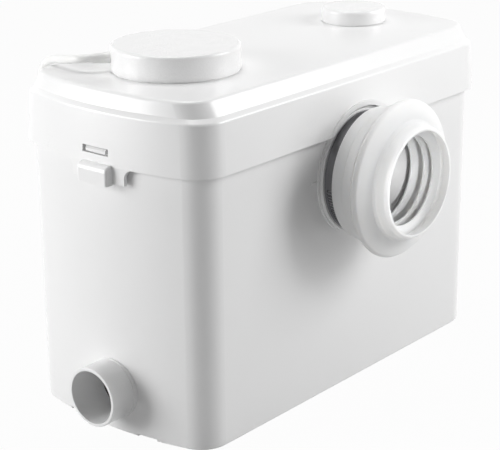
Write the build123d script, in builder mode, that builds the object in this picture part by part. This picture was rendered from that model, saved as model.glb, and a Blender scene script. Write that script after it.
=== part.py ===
from build123d import *
import math
import os

# A macerator pump that stands behind a toilet: a moulded tank with a clipped lid,
# a rubber pan connector on the front, a waste stub at the left end, and inside it a
# sealed motor over a pump with a slotted basket, a pressure switch and check flaps.
# Millimetres, +Z up, -Y towards the toilet, the origin under the tank's middle.

os.makedirs("parts", exist_ok=True)

# Tank
tank_length = 376.0
tank_width = 182.0
tank_corner = 24.0
end_bow = 290.0
wall = 3.0
tank_floor = 4.0
rim_above_inlet = 52.0
base_round = 2.0
overrun = 8.0
foot_step = 2.2
foot_step_depth = 14.0
centre_foot = 56.0
corner_foot_start = 46.5

# Lid
rim_depth = 16.7
skirt_overhang = 5.6
lid_corner = 27.0
lid_wall = 3.0
skirt_height = 39.0
skirt_draft = 2.5
ledge_rise = 3.2
ledge_inset = 3.4
shoulder_rise = 11.7
top_end_inset = 8.2
top_side_inset = 12.85
top_corner = 25.0
crease_round = 2.2
top_round = 3.0
gasket_thickness = 3.0
gasket_inset = 0.4
seat_rise = 1.0
hole_clearance = 1.0

# Snap tongues of the lid and the sprung latches behind them
clip_offset = 3.0
slot_offset = 1.0
tongue_drop = 12.5
tongue_width = 52.0
tongue_flare = 7.5
slot_width = 26.0
slot_height = 5.4
slot_above_seam = 7.1
grip_width = 30.0
grip_height = 14.9
grip_depth = 6.2
grip_round = 5.0
grip_edge_round = 2.0
grip_below_tongue = 1.2
latch_width = 20.0
latch_thickness = 1.2
latch_gap = 0.1
latch_height = 22.0
latch_drop = 13.0
hook_height = 3.6
window_margin = 2.0

# Pan inlet and its rubber sleeve
inlet_x = 7.3
inlet_height = 180.0
spigot_radius = 44.0
spigot_wall = 3.5
spigot_reach = 21.0
boss_radius = 51.5
boss_rise = 1.5
arch_gap = 1.0
arch_bead = 4.0
arch_bead_rise = 1.4
ring_radius = 50.0
ring_width = 2.3
fit_gap = 0.1
sleeve_gap = 4.0
sleeve_length = 56.6
bell_radius = 63.5
mouth_radius = 41.0
mouth_length = 5.6
band_start = 0.6
band_width = 9.0
band_thickness = 0.8
band_slots = 33
band_slot_start = 186.0
band_slot_turn = 105.0
band_slot_width = 1.2
screw_angle = -38.0
worm_radius = 2.8
worm_length = 13.0
worm_head_radius = 3.4
worm_head_length = 4.0
worm_case_wall = 1.3
running_gap = 0.05
lift_gap = 0.4

# Waste stub at the left end and its hanging flap
stub_y = -5.4
stub_height = 35.3
stub_radius = 23.7
stub_bore = 21.2
stub_length = 23.8
stub_inner_radius = 23.2
stub_root_radius = 24.2
stub_root_length = 2.0
stub_inside = 6.0
stub_edge_round = 0.8
flap_radius = 23.2
flap_thickness = 2.4
flap_gap = 0.3
pin_radius = 1.0
barrel_radius = 2.3
flap_barrel_length = 22.0
flap_hinge_rise = 2.6
lug_thickness = 3.0

# Motor cover and vent cap on the lid
motor_from_end = 85.2
cover_radius = 49.8
cover_height = 19.0
cover_wall = 3.0
cover_round = 2.4
cover_boss_radius = 3.4
cover_screw_radius = 1.5
cover_screw_head = 3.1
cover_screw_head_height = 2.2
cover_screw_length = 12.0
cover_screws = 3
vent_from_end = 64.2
vent_radius = 27.5
vent_height = 11.8
vent_wall = 2.5
vent_round = 3.0
vent_tube_radius = 22.5
vent_tube_bore = 20.0
vent_tube_drop = 16.0
vent_ledge = 4.0
vent_plug_gap = 0.3
vent_plug_drop = 6.0
filter_height = 9.0

# Motor
can_radius = 40.0
can_wall = 2.5
can_height = 128.0
can_gap = 1.2
stator_rise = 25.0
stator_height = 60.0
stator_bore = 22.0
winding_height = 13.0
winding_radius = 34.0
winding_bore = 25.0
air_gap = 0.6
shaft_radius = 5.0
shaft_low = 26.0
bearing_radius = 13.0
bearing_height = 9.0
bearing_race = 2.6
seal_radius = 12.0
seal_height = 7.0

# Pump head under the motor
basket_radius = 48.0
basket_wall = 2.5
basket_low_ring = 6.0
basket_top = 60.0
basket_slots = 28
basket_slot_width = 5.0
volute_radius = 47.0
volute_wall = 3.0
volute_height = 28.0
inlet_eye = 17.0
impeller_radius = 37.0
impeller_plate = 2.5
impeller_vane_height = 13.0
impeller_vane_thickness = 2.6
impeller_vanes = 6
hub_radius = 9.0
cutter_radius = 40.0
cutter_thickness = 2.5
cutter_width = 15.0
cutter_height = 40.0
column_radius = 24.0
column_ribs = 6
rib_thickness = 3.0
flange_thickness = 4.0

# Discharge line, check valve and outlet
outlet_x = 60.0
outlet_below_seam = 35.3
outlet_radius = 16.0
outlet_bore = 13.5
outlet_length = 25.0
outlet_lead = 1.0
valve_box_width = 40.0
valve_box_depth = 38.0
valve_box_height = 42.0
valve_box_wall = 2.5
pipe_radius = 10.4
pipe_wall = 1.9
pipe_bend = 18.0
valve_flap_radius = 12.6
valve_flap_thickness = 2.0

# Pressure switch
switch_x = 68.0
switch_y = -36.0
tube_radius = 20.0
tube_wall = 2.0
tube_below_rim = 14.0
tube_notch_width = 9.0
tube_notch_height = 12.0
switch_flange_radius = 28.0
switch_flange_height = 3.0
diaphragm_thickness = 1.6
switch_box_height = 24.0
switch_box_wall = 2.0
plunger_radius = 11.0
plunger_disc = 2.0
plunger_stem = 2.5
plunger_tip_share = 0.9
plunger_length = 9.0
plunger_travel = 2.0
lever_length = 14.0
lever_width = 5.0
lever_thickness = 0.6
micro_length = 17.0
micro_width = 7.0
micro_height = 8.0

# Capacitor and terminal box
capacitor_x = -20.0
capacitor_y = 42.0
capacitor_radius = 17.0
capacitor_height = 58.0
terminal_x = 8.0
terminal_y = 38.0
terminal_length = 30.0
terminal_width = 22.0
terminal_height = 18.0

# Supply cord
cord_radius = 3.25
run_share = 0.45
boot_angle = 139.6
boot_root_radius = 4.3
boot_length = 14.0
boot_end_wall = 0.4
boot_neck_radius = 3.9
cord_lead = 8.0
coil_x = -22.0
coil_y = 162.0
coil_outer_turn = 43.0
coil_pitch = 7.2
layer_rise = 7.1
tie_thickness = 0.8
tie_width = 9.0
tie_gap = 0.5
plug_length = 38.0
plug_radius = 15.0
plug_neck_radius = 6.0
plug_pin_radius = 2.4
plug_pin_length = 19.0
plug_pin_spacing = 19.0
plug_neck_length = 14.0
plug_round = 6.0
cord_over_edge = [
    (-157.2, 59.0, 277.7),
    (-153.6, 74.0, 275.0),
    (-151.2, 85.2, 273.1),
    (-150.5, 95.1, 267.4),
    (-150.2, 99.6, 256.8),
    (-149.6, 102.8, 238.0),
]
cord_behind = [
    (-149.5, 104.5, 214.0),
    (-147.5, 105.2, 172.0),
    (-149.0, 104.5, 122.0),
    (-147.5, 105.3, 74.0),
    (-148.0, 105.0, 26.2),
]
cord_on_floor = [(-126.4, 107.5), (-86.0, 117.0), (-50.0, 119.0)]
tail_rise_shares = [(0.30, 0.0, 0.0), (0.62, -3.0, 0.45), (0.86, -5.0, 1.0)]
tail_length = 96.0

# Heights and places that follow from the sizes above
lid_length = tank_length + 2 * skirt_overhang
lid_width = tank_width + 2 * skirt_overhang
top_length = lid_length - 2 * top_end_inset
top_width = lid_width - 2 * top_side_inset
tank_height = inlet_height + rim_above_inlet
seam_height = tank_height - rim_depth
outlet_height = seam_height - outlet_below_seam
tube_top = tank_height - tube_below_rim
crease_height = seam_height + skirt_height
ledge_height = crease_height + ledge_rise
lid_top = ledge_height + shoulder_rise
lid_under = lid_top - lid_wall
can_top = lid_top - can_gap
can_low = can_top - can_height
stator_low = can_low + stator_rise
cap_base = lid_top + seat_rise
front_wall = tank_width / 2
tank_end = tank_length / 2
sleeve_start = front_wall + sleeve_gap
stub_reach = tank_end + stub_length
outlet_reach = front_wall + outlet_length
motor_x = motor_from_end - tank_end
vent_x = tank_end - vent_from_end
boot_height = cap_base + cover_height / 2 + fit_gap
lid_end = lid_length / 2
volute_low = basket_top
volute_top = volute_low + volute_height
sleeve_end = sleeve_start + sleeve_length
boss_circle = cover_radius - cover_wall - cover_boss_radius + cover_wall / 3


def casing_plan(length, width, corner, bow):
    """Draw a plan outline with straight long sides, bowed ends and round corners."""
    reach = length / 2
    side = width / 2
    shoulder = reach - bow + math.sqrt(bow**2 - side**2)
    with BuildLine() as edge:
        Line((-shoulder, side), (shoulder, side))
        ThreePointArc((shoulder, side), (reach, 0), (shoulder, -side))
        Line((shoulder, -side), (-shoulder, -side))
        ThreePointArc((-shoulder, -side), (-reach, 0), (-shoulder, side))
    outline = make_face(edge.edges())
    fillet(outline.vertices(), corner)


def round_corner(sketch, place, radius):
    """Round the one sketch corner that lies nearest to a place."""
    fillet(sketch.vertices().sort_by_distance(Vector(*place))[0], radius)


def export(part, name):
    part.label = name
    export_step(part, f"parts/{name}.step")


# Tank: one thin-walled moulding with the pan spigot, the waste stub and the outlet
inlet_plane = Plane(origin=(inlet_x, 0, inlet_height), x_dir=(1, 0, 0), z_dir=(0, -1, 0))
outlet_plane = Plane(origin=(outlet_x, 0, outlet_height), x_dir=(1, 0, 0), z_dir=(0, 1, 0))
stub_plane = Plane(origin=(0, stub_y, stub_height), x_dir=(0, 1, 0), z_dir=(-1, 0, 0))
stub_inner_end = tank_end - wall - stub_inside
flap_x = stub_inner_end - flap_gap - flap_thickness / 2
hinge_height = stub_height + flap_radius + flap_hinge_rise
lug_spread = flap_barrel_length + 2 * fit_gap
lug_start = tank_end - wall / 2
lug_reach = lug_start - flap_x + barrel_radius + pin_radius
hook_level = seam_height + slot_above_seam + slot_height / 2
window_low = hook_level - latch_height + latch_drop / 2
window_top = tank_height - window_margin
foot_gap = corner_foot_start - centre_foot / 2

with BuildPart() as tank:
    with BuildSketch():
        casing_plan(tank_length, tank_width, tank_corner, end_bow)
    extrude(amount=tank_height)
    fillet(tank.faces().sort_by(Axis.Z)[0].edges(), base_round)
    with BuildSketch(inlet_plane.offset(front_wall - wall)):
        Circle(boss_radius)
    extrude(amount=wall + boss_rise)
    with BuildSketch(inlet_plane.offset(front_wall - wall)):
        Circle(spigot_radius)
    extrude(amount=wall + spigot_reach)
    with BuildSketch(stub_plane.offset(stub_inner_end)):
        Circle(stub_radius)
    extrude(amount=stub_reach - stub_inner_end)
    fillet(tank.faces().sort_by(Axis.X)[0].edges(), stub_edge_round)
    with BuildSketch(stub_plane.offset(tank_end - wall)):
        Circle(stub_root_radius)
    extrude(amount=wall + stub_root_length)
    with BuildSketch(outlet_plane.offset(front_wall - wall)):
        Circle(outlet_radius)
    extrude(amount=outlet_reach - front_wall + wall)
    chamfer(tank.faces().sort_by(Axis.Y)[-1].edges(), outlet_lead)
    with BuildSketch(Plane.XY.offset(tank_floor)):
        casing_plan(tank_length - 2 * wall, tank_width - 2 * wall, tank_corner - wall, end_bow - wall)
    extrude(amount=tank_height, mode=Mode.SUBTRACT)
    with BuildSketch(stub_plane.offset(stub_inner_end)):
        Circle(stub_inner_radius)
    extrude(amount=stub_inside + wall / 2)
    lug_places = [
        (lug_reach / 2 - lug_start, stub_y + side * (lug_spread + lug_thickness) / 2, hinge_height)
        for side in (-1, 1)
    ]
    with Locations(*lug_places):
        Box(lug_reach, lug_thickness, 2 * barrel_radius)
    with Locations(Location((-flap_x, stub_y, hinge_height), (90, 0, 0))):
        Cylinder(pin_radius + fit_gap / 2, lug_spread + 4 * lug_thickness, mode=Mode.SUBTRACT)
    with BuildSketch(stub_plane.offset(stub_inner_end - overrun)):
        Circle(stub_bore)
    extrude(amount=stub_reach - stub_inner_end + 2 * overrun, mode=Mode.SUBTRACT)
    with BuildSketch(inlet_plane.offset(front_wall - 2 * wall)):
        Circle(spigot_radius - spigot_wall)
    extrude(amount=spigot_reach + 4 * wall, mode=Mode.SUBTRACT)
    with BuildSketch(outlet_plane.offset(front_wall - 2 * wall)):
        Circle(outlet_bore)
    extrude(amount=outlet_reach, mode=Mode.SUBTRACT)
    with GridLocations(tank_length, centre_foot + foot_gap, 2, 2):
        Box(2 * foot_step_depth, foot_gap, 2 * foot_step, mode=Mode.SUBTRACT)
    with Locations((0, -slot_offset, (window_low + window_top) / 2)):
        Box(
            tank_length + overrun,
            latch_width + 2 * window_margin,
            window_top - window_low,
            mode=Mode.SUBTRACT,
        )
export(tank.part, "tank")

# Lid: skirt, rounded ledge, shoulder and flat top over a cavity of the same shape
lid_sections = [
    (seam_height, lid_length, lid_width, lid_corner),
    (crease_height, lid_length - 2 * skirt_draft, lid_width - 2 * skirt_draft, lid_corner),
    (
        ledge_height,
        lid_length - 2 * skirt_draft - 2 * ledge_inset,
        lid_width - 2 * skirt_draft - 2 * ledge_inset,
        lid_corner,
    ),
    (lid_top, top_length, top_width, top_corner),
]
with BuildPart() as lid_cavity:
    for level, length, width, corner in lid_sections:
        with BuildSketch(Plane.XY.offset(level if level == seam_height else level - lid_wall)):
            casing_plan(length - 2 * lid_wall, width - 2 * lid_wall, corner - lid_wall, end_bow)
    loft(ruled=True)

with BuildPart() as tongue_core:
    with BuildSketch(Plane.XY.offset(seam_height - tongue_drop)):
        casing_plan(lid_length - 2 * lid_wall, lid_width - 2 * lid_wall, lid_corner - lid_wall, end_bow)
    extrude(amount=tongue_drop)

with BuildPart() as tongues:
    with BuildSketch(Plane.XY.offset(seam_height - tongue_drop)):
        casing_plan(lid_length, lid_width, lid_corner, end_bow)
    extrude(amount=tongue_drop)
    add(tongue_core.part, mode=Mode.SUBTRACT)
    with BuildSketch(Plane.YZ.offset(-lid_length / 2 - overrun)):
        with Locations((-clip_offset, seam_height - tongue_drop / 2)):
            Rectangle(tongue_width, tongue_drop)
        with Locations((-clip_offset, seam_height - tongue_flare / 2)):
            Rectangle(tongue_width + 2 * tongue_flare, tongue_flare)
        flare_centre = tongue_width / 2 + tongue_flare
        for side in (-1, 1):
            with Locations((side * flare_centre - clip_offset, seam_height - tongue_flare)):
                Circle(tongue_flare, mode=Mode.SUBTRACT)
    extrude(amount=lid_length + 2 * overrun, mode=Mode.INTERSECT)

grip_middle = seam_height - tongue_drop - grip_below_tongue + grip_height / 2
grip_start = lid_end - lid_wall / 2
with BuildPart() as grips:
    for side in (-1, 1):
        with Locations((side * (grip_start + lid_end + grip_depth) / 2, -clip_offset, grip_middle)):
            Box(lid_end + grip_depth - grip_start, grip_width, grip_height)
    fillet(grips.edges().filter_by(Axis.Y).group_by(Axis.Z)[-1].group_by(Axis.X)[0], grip_round)
    fillet(grips.edges().filter_by(Axis.Y).group_by(Axis.Z)[-1].group_by(Axis.X)[-1], grip_round)
    for outer_face in (grips.faces().sort_by(Axis.X)[0], grips.faces().sort_by(Axis.X)[-1]):
        fillet(outer_face.edges().filter_by(Axis.Z), grip_edge_round)

ledge_level = tank_height + gasket_thickness
can_hole = can_radius + hole_clearance
filter_top = lid_top - vent_plug_drop - vent_plug_gap
vent_tube_low = lid_under - vent_tube_drop
with BuildPart() as lid:
    for level, length, width, corner in lid_sections:
        with BuildSketch(Plane.XY.offset(level)):
            casing_plan(length, width, corner, end_bow)
    loft(ruled=True)
    fillet(lid.faces().sort_by(Axis.Z)[-1].edges(), top_round)
    fillet(lid.edges().filter_by(lambda edge: abs(edge.center().Z - crease_height) < fit_gap), crease_round)
    add(lid_cavity.part, mode=Mode.SUBTRACT)
    with BuildSketch(Plane.XY.offset(ledge_level)):
        casing_plan(
            lid_length - 2 * skirt_draft - lid_wall,
            lid_width - 2 * skirt_draft - lid_wall,
            lid_corner - lid_wall,
            end_bow,
        )
    extrude(amount=gasket_thickness)
    with BuildSketch(Plane.XY.offset(ledge_level)):
        casing_plan(tank_length - 2 * wall, tank_width - 2 * wall, tank_corner - wall, end_bow)
    extrude(amount=gasket_thickness, mode=Mode.SUBTRACT)
    add(tongues.part)
    add(grips.part)
    with Locations((0, -slot_offset, hook_level)):
        Box(lid_length + 2 * overrun, slot_width, slot_height, mode=Mode.SUBTRACT)
    add(tongue_core.part, mode=Mode.SUBTRACT)
    with BuildSketch(inlet_plane.offset(front_wall)):
        Circle(boss_radius + arch_gap + arch_bead)
        with Locations((0, -inlet_height)):
            Rectangle(lid_length, 2 * seam_height, mode=Mode.SUBTRACT)
    extrude(amount=lid_width / 2 - front_wall - skirt_draft / 2 + arch_bead_rise)
    with BuildSketch(inlet_plane.offset(front_wall - wall)):
        Circle(boss_radius + arch_gap)
    extrude(amount=lid_width / 2, mode=Mode.SUBTRACT)
    with BuildSketch(Plane.XY.offset(lid_under)):
        with Locations((motor_x, 0)):
            Circle(cover_radius - arch_gap)
        with Locations((vent_x, 0)):
            Circle(vent_radius - arch_gap)
    extrude(amount=lid_wall + seat_rise)
    with BuildSketch(Plane.XY.offset(vent_tube_low)):
        with Locations((vent_x, 0)):
            Circle(vent_tube_radius)
    extrude(amount=vent_tube_drop + lid_wall)
    with BuildSketch(Plane.XY.offset(vent_tube_low + vent_wall)):
        with Locations((vent_x, 0)):
            Circle(vent_tube_bore)
    extrude(amount=lid_top, mode=Mode.SUBTRACT)
    with BuildSketch(Plane.XY.offset(vent_tube_low - overrun)):
        with Locations((vent_x, 0)):
            Circle(vent_tube_bore - vent_ledge)
    extrude(amount=lid_top, mode=Mode.SUBTRACT)
    with BuildSketch(Plane.XY.offset(lid_under - overrun)):
        with Locations((motor_x, 0)):
            Circle(can_hole)
            with PolarLocations(boss_circle, cover_screws):
                Circle(cover_screw_radius + fit_gap)
    extrude(amount=lid_top, mode=Mode.SUBTRACT)
export(lid.part, "lid")

with BuildPart() as lid_gasket:
    with BuildSketch(Plane.XY.offset(tank_height)):
        casing_plan(
            tank_length - 2 * gasket_inset,
            tank_width - 2 * gasket_inset,
            tank_corner - gasket_inset,
            end_bow,
        )
    extrude(amount=gasket_thickness)
    with BuildSketch(Plane.XY.offset(tank_height)):
        casing_plan(tank_length - 2 * wall, tank_width - 2 * wall, tank_corner - wall, end_bow)
    extrude(amount=gasket_thickness, mode=Mode.SUBTRACT)
export(lid_gasket.part, "lid_gasket")

# Latches: sprung blades in front of the tank's end windows, hooked into the lid's slots
latch_low = hook_level + hook_height / 2 + latch_gap - latch_height
hook_reach = lid_end - skirt_draft / 2 + latch_gap - tank_end
for side, latch_name in ((-1, "latch_left"), (1, "latch_right")):
    with BuildPart() as latch:
        with Locations((side * (tank_end + latch_gap + latch_thickness / 2), -slot_offset, latch_low)):
            Box(
                latch_thickness,
                latch_width,
                latch_height,
                align=(Align.CENTER, Align.CENTER, Align.MIN),
            )
        with Locations((side * (tank_end + latch_gap + hook_reach / 2), -slot_offset, hook_level)):
            Box(hook_reach - latch_gap, latch_width, hook_height)
        chamfer(
            latch.edges().filter_by(Axis.Y).sort_by(lambda edge: abs(edge.center().X))[-2:]
            .sort_by(Axis.Z)[-1],
            hook_height / 3,
        )
    export(latch.part, latch_name)

# Pan connector: white ring on the spigot, rubber sleeve with bell, lip and sealing fins
with BuildPart() as inlet_ring:
    with BuildSketch(inlet_plane.offset(front_wall + boss_rise)):
        Circle(ring_radius)
        Circle(spigot_radius + running_gap, mode=Mode.SUBTRACT)
    extrude(amount=ring_width)
    front_edges = inlet_ring.edges().filter_by(GeomType.CIRCLE).sort_by(Axis.Y)[:2]
    fillet(front_edges.sort_by(SortBy.RADIUS)[-1:], ring_width / 3)
export(inlet_ring.part, "inlet_ring")

collar_radius = spigot_radius + spigot_wall
spigot_end = front_wall + spigot_reach
sleeve_plane = Plane(origin=(inlet_x, 0, inlet_height), x_dir=(0, -1, 0), z_dir=(-1, 0, 0))
inlet_axis = Axis((inlet_x, 0, inlet_height), (0, -1, 0))
# Shares of the sleeve's length and of the bell's radius, from the collar to the lip
sleeve_outer_shares = [
    (0.180, 0.748),
    (0.180, 0.827),
    (0.380, 0.855),
    (0.390, 0.839),
    (0.400, 0.871),
    (0.498, 0.888),
    (0.508, 0.872),
    (0.518, 0.917),
    (0.577, 0.930),
    (0.586, 0.918),
    (0.655, 1.000),
    (0.712, 0.968),
    (0.800, 0.758),
    (0.835, 0.722),
    (0.955, 0.706),
    (1.000, 0.672),
]
sleeve_inner_shares = [
    (0.840, 0.690),
    (0.812, 0.690),
    (0.780, 0.567),
    (0.755, 0.567),
    (0.768, 0.760),
    (0.690, 0.820),
    (0.668, 0.760),
    (0.640, 0.559),
    (0.615, 0.559),
    (0.625, 0.760),
    (0.560, 0.780),
    (0.475, 0.770),
    (0.438, 0.543),
    (0.413, 0.543),
    (0.420, 0.720),
]


def sleeve_point(shares):
    return (sleeve_start + shares[0] * sleeve_length, shares[1] * bell_radius)


with BuildPart() as pan_sleeve:
    with BuildSketch(sleeve_plane) as sleeve_profile:
        with BuildLine():
            Polyline(
                (sleeve_start, spigot_radius + running_gap),
                (sleeve_start, collar_radius),
                *[sleeve_point(shares) for shares in sleeve_outer_shares],
                (sleeve_end, mouth_radius),
                (sleeve_end - mouth_length, mouth_radius),
                *[sleeve_point(shares) for shares in sleeve_inner_shares],
                (spigot_end + fit_gap, spigot_radius + running_gap),
                close=True,
            )
        make_face()
        for corner_shares, round_share in (
            (sleeve_outer_shares[1], 0.02),
            (sleeve_outer_shares[10], 0.038),
            (sleeve_outer_shares[11], 0.043),
            (sleeve_outer_shares[12], 0.035),
            (sleeve_outer_shares[14], 0.05),
            (sleeve_outer_shares[15], 0.02),
        ):
            round_corner(sleeve_profile, sleeve_point(corner_shares), round_share * bell_radius)
    revolve(axis=inlet_axis)
export(pan_sleeve.part, "pan_sleeve")

# Hose clamp: slotted steel band, worm case and worm screw
band_low = sleeve_start + band_start
band_radius = collar_radius + running_gap
worm_centre = band_radius + band_thickness + worm_radius + lift_gap
worm_middle = band_low + band_width / 2
with BuildPart() as clamp_band:
    with BuildSketch(inlet_plane.offset(band_low)):
        Circle(band_radius + band_thickness)
        Circle(band_radius, mode=Mode.SUBTRACT)
    extrude(amount=band_width)
    with Locations(inlet_plane.offset(worm_middle)):
        with PolarLocations(band_radius, band_slots, band_slot_start, band_slot_turn):
            Box(4 * band_thickness, band_slot_width, band_width / 2, mode=Mode.SUBTRACT)
export(clamp_band.part, "clamp_band")

screw_turn = math.radians(screw_angle)
worm_place = Vector(
    inlet_x + worm_centre * math.cos(screw_turn),
    -worm_middle,
    inlet_height + worm_centre * math.sin(screw_turn),
)
worm_direction = Vector(math.sin(screw_turn), 0, -math.cos(screw_turn))
worm_plane = Plane(origin=worm_place, x_dir=(0, -1, 0), z_dir=worm_direction)
worm_case_side = 2 * (worm_radius + worm_case_wall)
with BuildPart() as clamp_case:
    with BuildSketch(worm_plane.offset(-worm_length / 2)):
        Rectangle(band_width, worm_case_side)
        Circle(worm_radius + running_gap, mode=Mode.SUBTRACT)
    extrude(amount=worm_length)
    with BuildSketch(inlet_plane.offset(band_low - overrun)):
        Circle(band_radius + band_thickness)
    extrude(amount=band_width + 2 * overrun, mode=Mode.SUBTRACT)
export(clamp_case.part, "clamp_case")

with BuildPart() as clamp_screw:
    with BuildSketch(worm_plane.offset(-worm_length / 2 - lift_gap)):
        Circle(worm_radius)
    extrude(amount=worm_length + 2 * lift_gap)
    with BuildSketch(worm_plane.offset(worm_length / 2 + lift_gap)):
        RegularPolygon(worm_head_radius, 6)
    extrude(amount=worm_head_length)
    with Locations(worm_plane.offset(worm_length / 2 + lift_gap + worm_head_length)):
        Box(2 * worm_head_radius + overrun, cover_screw_radius / 2, worm_head_length / 2, mode=Mode.SUBTRACT)
export(clamp_screw.part, "clamp_screw")

# Waste flap: black rubber disc with a hinge barrel, hung on a pin behind the stub
flap_plane = Plane(origin=(0, stub_y, stub_height), x_dir=(0, 1, 0), z_dir=(1, 0, 0))
with BuildPart() as waste_flap:
    with BuildSketch(flap_plane.offset(-flap_x - flap_thickness / 2)):
        Circle(flap_radius)
        with Locations((0, hinge_height - stub_height - barrel_radius)):
            Rectangle(flap_barrel_length, 2 * barrel_radius + flap_hinge_rise)
    extrude(amount=flap_thickness)
    with Locations(Location((-flap_x, stub_y, hinge_height), (90, 0, 0))):
        Cylinder(barrel_radius, flap_barrel_length)
        Cylinder(pin_radius + running_gap, flap_barrel_length, mode=Mode.SUBTRACT)
export(waste_flap.part, "waste_flap")

with BuildPart() as waste_flap_pin:
    with Locations(Location((-flap_x, stub_y, hinge_height), (90, 0, 0))):
        Cylinder(pin_radius, lug_spread + 2 * lug_thickness + pin_radius)
export(waste_flap_pin.part, "waste_flap_pin")

# Motor cover: shallow round cup with soft upper edge, screw bosses and a cord hole
boot_turn = math.radians(boot_angle)
boot_direction = Vector(math.cos(boot_turn), math.sin(boot_turn), 0)
boot_start = Vector(motor_x, 0, boot_height) + boot_direction * (cover_radius - cover_wall)
boot_across = (-math.sin(boot_turn), math.cos(boot_turn), 0)
boot_plane = Plane(origin=boot_start, x_dir=boot_across, z_dir=boot_direction)
with BuildPart() as motor_cover:
    with BuildSketch(Plane.XY.offset(cap_base)):
        with Locations((motor_x, 0)):
            Circle(cover_radius)
    extrude(amount=cover_height)
    fillet(motor_cover.faces().sort_by(Axis.Z)[-1].edges(), cover_round)
    with BuildSketch(Plane.XY.offset(cap_base)):
        with Locations((motor_x, 0)):
            Circle(cover_radius - cover_wall)
    extrude(amount=cover_height - cover_wall, mode=Mode.SUBTRACT)
    with BuildSketch(Plane.XY.offset(cap_base)):
        with Locations((motor_x, 0)):
            with PolarLocations(boss_circle, cover_screws):
                Circle(cover_boss_radius)
    extrude(amount=cover_height - cover_wall / 2)
    with BuildSketch(Plane.XY.offset(cap_base)):
        with Locations((motor_x, 0)):
            with PolarLocations(boss_circle, cover_screws):
                Circle(cover_screw_radius + fit_gap / 2)
    extrude(amount=cover_screw_length, mode=Mode.SUBTRACT)
    with BuildSketch(boot_plane.offset(-cover_wall)):
        Circle(boot_neck_radius)
    extrude(amount=3 * cover_wall, mode=Mode.SUBTRACT)
export(motor_cover.part, "motor_cover")

with BuildPart() as cover_screw_set:
    with BuildSketch(Plane.XY.offset(lid_under - cover_screw_head_height)):
        with Locations((motor_x, 0)):
            with PolarLocations(boss_circle, cover_screws):
                Circle(cover_screw_head)
    extrude(amount=cover_screw_head_height)
    with BuildSketch(Plane.XY.offset(lid_under)):
        with Locations((motor_x, 0)):
            with PolarLocations(boss_circle, cover_screws):
                Circle(cover_screw_radius)
    extrude(amount=cover_screw_length)
export(cover_screw_set.part, "cover_screws")

# Vent cap and the carbon filter that it covers
vent_axis = Axis((vent_x, 0, 0), (0, 0, 1))
with BuildPart() as vent_cap:
    with BuildSketch(Plane.XY.offset(cap_base)):
        with Locations((vent_x, 0)):
            Circle(vent_radius)
    extrude(amount=vent_height)
    fillet(vent_cap.faces().sort_by(Axis.Z)[-1].edges(), vent_round)
    with BuildSketch(Plane.XY.offset(lid_top - vent_plug_drop)):
        with Locations((vent_x, 0)):
            Circle(vent_tube_bore - vent_plug_gap)
    extrude(amount=vent_plug_drop + seat_rise)
    with BuildSketch(Plane.XY.offset(lid_top - vent_plug_drop)):
        with Locations((vent_x, 0)):
            Circle(vent_tube_bore - vent_plug_gap - vent_wall)
    extrude(amount=vent_plug_drop + seat_rise + vent_height - vent_wall, mode=Mode.SUBTRACT)
export(vent_cap.part, "vent_cap")

with BuildPart() as carbon_filter:
    with BuildSketch(Plane.XY.offset(vent_tube_low + vent_wall)):
        with Locations((vent_x, 0)):
            Circle(vent_tube_bore - vent_plug_gap)
    extrude(amount=filter_height)
export(carbon_filter.part, "carbon_filter")

# Motor: sealed can, stator with windings, bearings, shaft seal, rotor and shaft
motor_axis = Axis((motor_x, 0, 0), (0, 0, 1))
lower_bearing = can_low + can_wall
upper_bearing = can_top - can_wall - bearing_height


def motor_disc(level, radius, height, mode=Mode.ADD):
    """Extrude a round disc about the motor's axis."""
    with BuildSketch(Plane.XY.offset(level)) as disc:
        with Locations((motor_x, 0)):
            Circle(radius)
    extrude(disc.sketch, amount=height, mode=mode)


with BuildPart() as motor_can:
    motor_disc(can_low, can_radius, can_top - can_low)
    motor_disc(can_low + can_wall, can_radius - can_wall, can_top - can_low - 2 * can_wall, Mode.SUBTRACT)
    motor_disc(can_low, bearing_radius + can_wall, can_wall + bearing_height)
    motor_disc(upper_bearing, bearing_radius + can_wall, can_wall + bearing_height)
    motor_disc(lower_bearing, bearing_radius, bearing_height, Mode.SUBTRACT)
    motor_disc(upper_bearing, bearing_radius, bearing_height, Mode.SUBTRACT)
    motor_disc(can_low, shaft_radius + air_gap, can_wall, Mode.SUBTRACT)
export(motor_can.part, "motor_can")

with BuildPart() as stator:
    motor_disc(stator_low, can_radius - can_wall, stator_height)
    motor_disc(stator_low, stator_bore, stator_height, Mode.SUBTRACT)
export(stator.part, "stator")

with BuildPart() as windings:
    for level in (stator_low - winding_height, stator_low + stator_height):
        motor_disc(level, winding_radius, winding_height)
        motor_disc(level, winding_bore, winding_height, Mode.SUBTRACT)
    fillet(windings.edges().filter_by(GeomType.CIRCLE).group_by(Axis.Z)[0], winding_height / 4)
    fillet(windings.edges().filter_by(GeomType.CIRCLE).group_by(Axis.Z)[-1], winding_height / 4)
export(windings.part, "windings")

with BuildPart() as rotor_core:
    motor_disc(stator_low, stator_bore - air_gap, stator_height)
    motor_disc(stator_low, shaft_radius, stator_height, Mode.SUBTRACT)
export(rotor_core.part, "rotor_core")

with BuildPart() as motor_shaft:
    motor_disc(shaft_low, shaft_radius, upper_bearing + bearing_height - shaft_low)
    chamfer(motor_shaft.edges(), shaft_radius / 5)
export(motor_shaft.part, "motor_shaft")

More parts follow.
